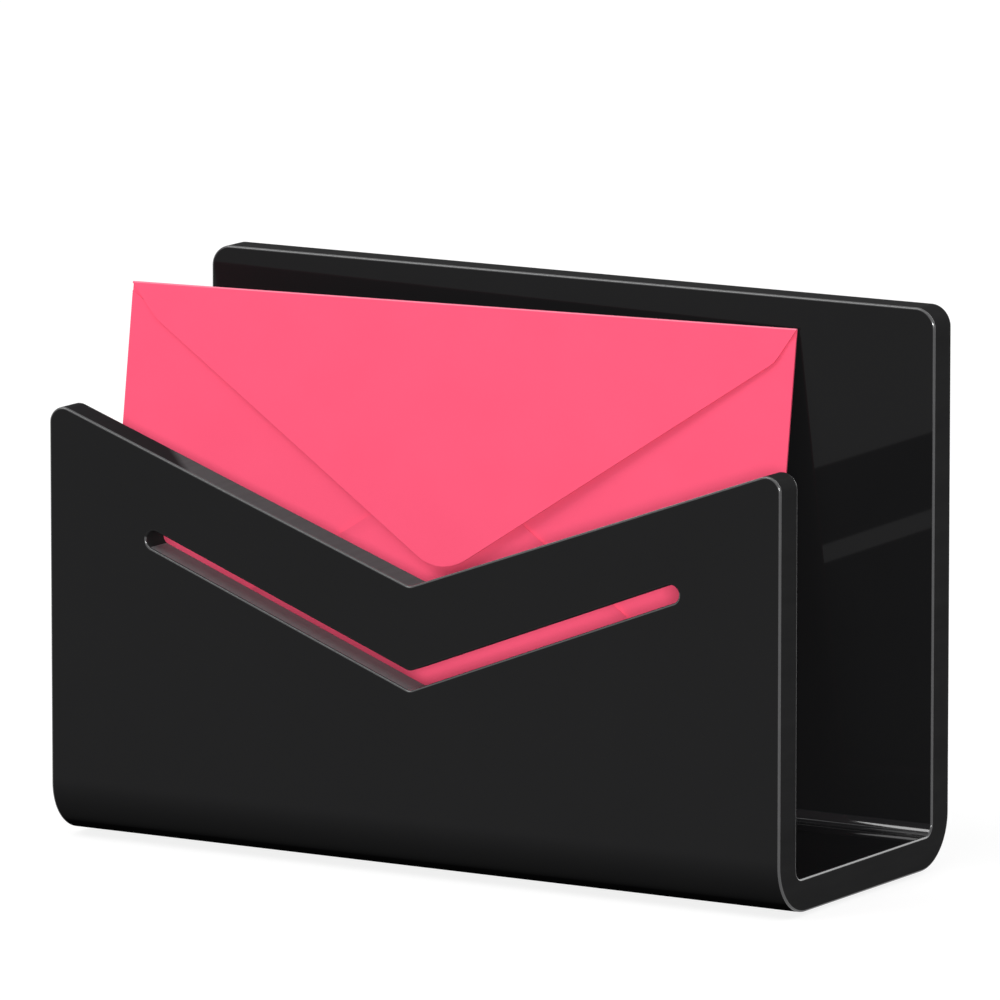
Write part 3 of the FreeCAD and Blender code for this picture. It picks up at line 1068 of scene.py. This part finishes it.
@dataclass
class Envelope:
    """The envelope: four panels folded together and a pointed top flap."""

    width: float = 206.4 * MM
    height: float = 140.4 * MM
    paper: float = 0.3 * MM
    clearance: float = 0.3 * MM
    lean: float = math.radians(10.05)
    lift: float = math.radians(1.0)
    side_reach: float = 90.2 * MM
    side_apex: float = 78.0 * MM
    side_top_drop: float = 2.5 * MM
    side_bottom_rise: float = 4.0 * MM
    side_tip: float = 8.0 * MM
    bottom_reach: float = 95.8 * MM
    bottom_inset: float = 1.5 * MM
    bottom_shoulder: float = 27.4 * MM
    bottom_tip: float = 2.5 * MM
    bottom_shift: float = 1.4 * MM
    curl_rise: float = 0.45 * MM
    curl_width: float = 4.0 * MM
    curl_steps: int = 4
    top_reach: float = 76.2 * MM
    top_shift: float = 1.2 * MM
    top_tip: float = 13.0 * MM
    top_inset: float = 7.0 * MM
    top_drop: float = 9.55 * MM
    top_shoulder: float = 9.0 * MM
    top_bow: float = 0.35 * MM
    top_curl: float = 1.2 * MM
    top_rows: int = 24
    top_arc_step: float = math.radians(3.0)
    fold_press: float = 0.22 * MM
    fold_rise: float = 0.42 * MM
    fold_steps: int = 16
    roll_steps: int = 16
    gum_margin: float = 3.0 * MM
    gum_end: float = 9.0 * MM
    gum_width: float = 9.0 * MM
    gum_corner: float = 2.25 * MM
    gum_film: float = 0.04 * MM
    paper_finish: Finish = Paper("pink_paper")
    # The fold is lighter than the paper: partly the paler crease of dyed paper, partly a
    # painted highlight along the top.
    fold_finish: Finish = Paper("fold_crease_and_painted_highlight", (0.96, 0.20, 0.30), (1.0, 0.26, 0.36))
    gum_finish: Finish = Finish(
        "dried_gum", (0.80, 0.075, 0.165), (0.70, 0.060, 0.140), roughness=0.16,
        grain_roughness=0.2, grain=Grain(320.0, 3.0, depth=0.00005))

    def __post_init__(self) -> None:
        """Read the hinge from the frame and work out how the envelope stands."""
        hinge = next(joint for joint in frame["joints"] if joint["name"] == "flap_hinge")
        self.hinge = Vector(hinge["pos_m"])
        axis = Vector(hinge["axis"])
        turn = Matrix.Rotation(math.atan2(-axis.y, -axis.x), 4, "Z")
        leaned = turn @ Matrix.Rotation(-self.lean, 4, "X")
        # The hinge lies in the middle of the top flap's paper, over the side and
        # bottom flaps and the clearance.
        local_hinge = Vector((0.0, -(1.5 * self.paper + self.clearance),
                              self.height - self.paper))
        self.stance = Matrix.Translation(self.hinge - leaned @ local_hinge) @ leaned
        self.flap_stance = (Matrix.Translation(self.hinge) @ turn
                            @ Matrix.Rotation(-(self.lean + self.lift), 4, "X"))

    def build(self) -> None:
        """Make every panel, the top flap and its gum."""
        paper = self.paper_finish.material()
        panels = {
            PaperPart.ADDRESS: self._address_panel(),
            PaperPart.SIDE_LEFT: self._side_flap(-1.0),
            PaperPart.SIDE_RIGHT: self._side_flap(1.0),
            PaperPart.BOTTOM: self._bottom_flap(),
            PaperPart.TOP: self._top_flap(),
        }
        for part, mesh in panels.items():
            self._place(part, mesh, paper)
        panels[PaperPart.ADDRESS].materials.append(self.fold_finish.material())
        self._gum_strip()

    @staticmethod
    def _place(part: PaperPart, mesh: bpy.types.Mesh, material: bpy.types.Material) -> None:
        """Put one panel in the scene in place of its plain solid.

        Args:
            part: which panel.
            mesh: its mesh.
            material: the paper.
        """
        mesh.materials.append(material)
        piece = new_object(part.value + "_paper", mesh)
        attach(piece, "flap" if part is PaperPart.TOP else "envelope")
        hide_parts(part.value)
        LOG.info("%s: %d faces", piece.name, len(mesh.polygons))

    @staticmethod
    def _join(mesh: bpy.types.Mesh, profile: Sequence[tuple[float, float]],
              half: float, stance: Matrix, slot: int = 0) -> bpy.types.Mesh:
        """Add a fold that runs along the envelope to a panel's mesh.

        Args:
            mesh: the panel.
            profile: the fold's closed section as (y, z) pairs.
            half: half the fold's length.
            stance: turns the section's axes into the frame's.
            slot: the material slot of the fold.

        Returns:
            The panel with its fold.
        """
        shape = bmesh.new()
        left, right = ([shape.verts.new((x, y, z)) for y, z in profile]
                       for x in (-half, half))
        for (left_low, right_low), (left_high, right_high) in pairs(list(zip(left, right))):
            shape.faces.new((left_low, left_high, right_high, right_low))
        shape.faces.new(left)
        shape.faces.new(right)
        bmesh.ops.recalc_face_normals(shape, faces=shape.faces[:])
        bmesh.ops.transform(shape, matrix=stance, verts=shape.verts[:])
        for face in shape.faces:
            face.material_index = slot
        shape.from_mesh(mesh)
        shape.to_mesh(mesh)
        shape.free()
        smooth(mesh, PaperSheet.sharp_from)
        return mesh

    def _address_panel(self) -> bpy.types.Mesh:
        """The address panel, with the fold that carries the top flap.

        Returns:
            Its mesh, with the fold in the second material slot.
        """
        half = self.width / 2
        top = self.height - self.paper
        outline = Outline([Corner(-half, 0.0), Corner(half, 0.0),
                           Corner(half, top), Corner(-half, top)])
        panel = PaperSheet(outline, 0.0, self.paper).mesh("address_panel", self.stance)
        front = self.fold_press - 2 * self.paper - self.clearance
        middle = (self.paper + front) / 2
        wide = (self.paper - front) / 2

        def arch(inset: float) -> list[tuple[float, float]]:
            """One face of the folded paper, an arch from the panel to the flap."""
            return [(middle + (wide - inset) * math.cos(angle),
                     top + (self.fold_rise - inset) * math.sin(angle))
                    for angle in even_angles(math.pi, self.fold_steps)]

        section = arch(0.0) + arch(self.paper)[::-1]
        return self._join(panel, section, half, self.stance, slot=1)

    def _side_flap(self, side: float) -> bpy.types.Mesh:
        """One side flap.

        Args:
            side: -1 for the left flap, 1 for the right.

        Returns:
            Its mesh.
        """
        fold = side * self.width / 2
        corners = [
            Corner(fold, self.height - self.side_top_drop),
            Corner(fold, self.side_bottom_rise),
            Corner(fold - side * self.side_reach, self.side_apex, self.side_tip),
        ]
        if side > 0:
            corners.reverse()
        sheet = PaperSheet(Outline(corners), -self.paper, 0.0)
        return sheet.mesh("side_flap", self.stance)

    def _bottom_flap(self) -> bpy.types.Mesh:
        """The bottom flap, with its fold along the lower edge.

        Returns:
            Its mesh.
        """
        half = self.width / 2 - self.bottom_inset
        outline = Outline([
            Corner(-half, 0.0),
            Corner(half, 0.0),
            Corner(half, self.bottom_shoulder),
            Corner(self.bottom_shift, self.bottom_reach, self.bottom_tip),
            Corner(-half, self.bottom_shoulder),
        ])
        apex = Vector((self.bottom_shift, 0.0, self.bottom_reach))
        edges = [(apex, (apex - Vector((side * half, 0.0, self.bottom_shoulder))).cross(
            Vector((0.0, side, 0.0))).normalized()) for side in (-1.0, 1.0)]

        def curl(u: float, v: float) -> float:
            """The lift of the free edges, which the gum doesn't reach.

            Args:
                u: the place along the envelope.
                v: the height.

            Returns:
                The way out, negative towards the front.
            """
            spot = Vector((u, 0.0, v))
            inside = max(0.0, min((spot - point).dot(across) for point, across in edges))
            return -self.curl_rise * max(0.0, 1.0 - inside / self.curl_width) ** 2

        rows = [(point + across * (self.curl_width * step / self.curl_steps), across)
                for point, across in edges for step in range(1, self.curl_steps + 1)]
        sheet = PaperSheet(outline, -2 * self.paper, -self.paper, curl, rows)
        flap = sheet.mesh("bottom_flap", self.stance)
        section = [(-self.paper, 0.0), (0.0, 0.0), (0.0, self.paper),
                   (-self.paper, self.paper)]
        return self._join(flap, section, half, self.stance)

    def _bow(self, _u: float, v: float) -> float:
        """How far the top flap stands out at a distance below its fold.

        Args:
            _u: the place along the fold, which doesn't matter.
            v: the height, 0 at the fold and negative below it.

        Returns:
            The way out, negative towards the front.
        """
        down = min(-v / self.top_reach, 1.0)
        return (self.fold_press * (1.0 - down) ** 2 - self.top_curl * down ** 3
                - self.top_bow * math.sin(math.pi * down))

    def _top_sheet(self, outline: Outline, front: float, back: float) -> PaperSheet:
        """A sheet that bows with the top flap.

        Args:
            outline: its outline.
            front: its front face, from the middle of the flap's paper.
            back: its back face.

        Returns:
            The sheet, divided in level rows so that it can bow.
        """
        up = Vector((0.0, 0.0, 1.0))
        rows = [(up * (-self.top_reach * step / self.top_rows), up)
                for step in range(1, self.top_rows)]
        return PaperSheet(outline, front, back, self._bow, rows)

    def _top_flap(self) -> bpy.types.Mesh:
        """The pointed top flap, with the roll of paper at its fold.

        Returns:
            Its mesh.
        """
        half = self.width / 2
        outline = Outline([
            Corner(-half, 0.0),
            Corner(self.top_shift + self.top_inset - half, -self.top_drop, self.top_shoulder),
            Corner(self.top_shift, -self.top_reach, self.top_tip),
            Corner(self.top_shift + half - self.top_inset, -self.top_drop, self.top_shoulder),
            Corner(half, 0.0),
        ], self.top_arc_step)
        edge = self.paper / 2
        flap = self._top_sheet(outline, -edge, edge).mesh("top_flap", self.flap_stance)
        roll = [(self.fold_press + edge * math.cos(angle), edge * math.sin(angle))
                for angle in even_angles(math.tau, self.roll_steps)[:-1]]
        return self._join(flap, roll, half, self.flap_stance)

    def _gum_strip(self) -> None:
        """The band of gum on the top flap's inner face, along its two slanting edges."""
        slope = (self.top_reach - self.top_drop) / (self.width / 2 - self.top_inset)
        stretch = math.hypot(1.0, slope)
        low = -self.top_reach + self.gum_margin * stretch
        high = low + self.gum_width * stretch
        end = self.width / 2 - self.top_inset - self.gum_end
        shoulder_x = end - self.gum_width * slope / stretch
        shoulder_z = low + end * slope + self.gum_width / stretch
        outline = Outline([
            Corner(self.top_shift - end, low + end * slope, self.gum_corner),
            Corner(self.top_shift, low, self.top_tip - self.gum_margin),
            Corner(self.top_shift + end, low + end * slope, self.gum_corner),
            Corner(self.top_shift + shoulder_x, shoulder_z, self.gum_corner),
            Corner(self.top_shift, high, self.gum_corner),
            Corner(self.top_shift - shoulder_x, shoulder_z, self.gum_corner),
        ])
        face = self.paper / 2
        sheet = self._top_sheet(outline, face, face + self.gum_film)
        mesh = sheet.mesh("gum_strip", self.flap_stance)
        mesh.materials.append(self.gum_finish.material())
        strip = new_object("gum_strip", mesh)
        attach(strip, "flap")
        LOG.info("gum_strip: %d faces", len(mesh.polygons))


# ---- studio


@dataclass(frozen=True)
class Sun:
    """A distant light."""

    name: str
    toward: Spot
    strength: float
    spread: float


@dataclass
class Studio:
    """Pale floor, lights and the camera of the photograph."""

    floor_reach: float = 30.0
    floor_sides: int = 96
    floor_colour: Colour = (0.30, 0.30, 0.30)
    floor_glow: float = 0.82
    sky_seen: float = 1.0
    sky_light: float = 0.15
    suns: tuple[Sun, ...] = (
        Sun("key", (-0.46, -0.50, 0.75), 1.25, math.radians(36.0)),
        Sun("fill", (0.51, -0.84, 0.17), 2.18, math.radians(5.0)),
        Sun("behind", (0.35, 0.85, 0.22), 1.9, math.radians(60.0)),
        Sun("left", (-0.85, 0.45, 0.10), 1.2, math.radians(45.0)),
    )
    lamp_place: Spot = (0.25, -0.45, 1.00)
    lamp_side: float = 0.8
    lamp_watts: float = 2.2
    azimuth: float = 0.543505
    elevation: float = 0.168526
    distance: float = 3.51231
    aim: Spot = (0.000822, 0.0, 0.100148)
    lens: float = 453.94
    sensor: float = 36.0
    sight: float = 100.0

    def build(self) -> None:
        """Set the floor, the light and the camera."""
        self._floor()
        self._sky()
        for sun in self.suns:
            self._sun(sun)
        self._lamp()
        self._camera()
        bpy.context.scene.view_settings.view_transform = "Standard"

    def _floor(self) -> None:
        """A large pale floor."""
        shape = bmesh.new()
        bmesh.ops.create_circle(
            shape, cap_ends=True, segments=self.floor_sides, radius=self.floor_reach)
        mesh = to_mesh(shape, "floor")
        mesh.materials.append(new_material("floor", self._floor_paint))
        new_object("floor", mesh)

    def _floor_paint(self, tree: TreeMaker) -> Wire:
        """Paint that takes light and shadow, and glows where it is seen.

        Args:
            tree: the material's tree.

        Returns:
            The shader.
        """
        lit = tree.wire("ShaderNodeBsdfDiffuse", {"Color": rgba(self.floor_colour)})
        glow = tree.wire("ShaderNodeEmission", {
            "Color": WHITE, "Strength": tree.seen() * self.floor_glow})
        return tree.wire("ShaderNodeAddShader", {0: lit, 1: glow})

    def _sky(self) -> None:
        """A white surround for what is seen directly, in gloss or through clear pads."""
        world = bpy.data.worlds.new("surround")
        world.use_nodes = True
        bpy.context.scene.world = world
        tree = TreeMaker(world.node_tree)
        strength = self.sky_light + tree.seen() * (self.sky_seen - self.sky_light)
        surround = tree.wire("ShaderNodeBackground", {"Color": WHITE, "Strength": strength})
        tree.node("ShaderNodeOutputWorld", {"Surface": surround})

    @staticmethod
    def _turned(name: str, data: bpy.types.ID, back: Vector) -> bpy.types.Object:
        """Put a light or the camera in the scene, turned.

        Args:
            name: its name.
            data: the light or camera.
            back: the direction that its back points in.

        Returns:
            The object, at the origin.
        """
        made = new_object(name, data)
        made.rotation_euler = back.to_track_quat("Z", "Y").to_euler()
        return made

    def _sun(self, sun: Sun) -> None:
        """One distant light.

        Args:
            sun: where it comes from, its strength and its spread.
        """
        data = bpy.data.lights.new(sun.name, "SUN")
        data.energy = sun.strength
        data.angle = sun.spread
        self._turned(sun.name, data, Vector(sun.toward))

    def _lamp(self) -> None:
        """A soft box overhead."""
        data = bpy.data.lights.new("overhead", "AREA")
        data.shape = "RECTANGLE"
        data.size = data.size_y = self.lamp_side
        data.energy = self.lamp_watts
        box = self._turned("overhead", data, Vector(self.lamp_place) - Vector(self.aim))
        box.location = self.lamp_place

    def _camera(self) -> None:
        """The camera at the photograph's angle."""
        data = bpy.data.cameras.new("camera")
        data.lens = self.lens
        data.sensor_width = self.sensor
        data.clip_end = self.sight
        level = math.cos(self.elevation)
        back = Vector((math.sin(self.azimuth) * level, -math.cos(self.azimuth) * level,
                       math.sin(self.elevation)))
        camera = self._turned("camera", data, back)
        camera.location = Vector(self.aim) + back * self.distance
        bpy.context.scene.camera = camera


def main() -> None:
    """Build the object piece by piece, then the studio round it."""
    logging.basicConfig(level=logging.INFO)
    Holder().build()
    Bumpers().build()
    Envelope().build()
    Studio().build()


if __name__ == "__main__":
    main()
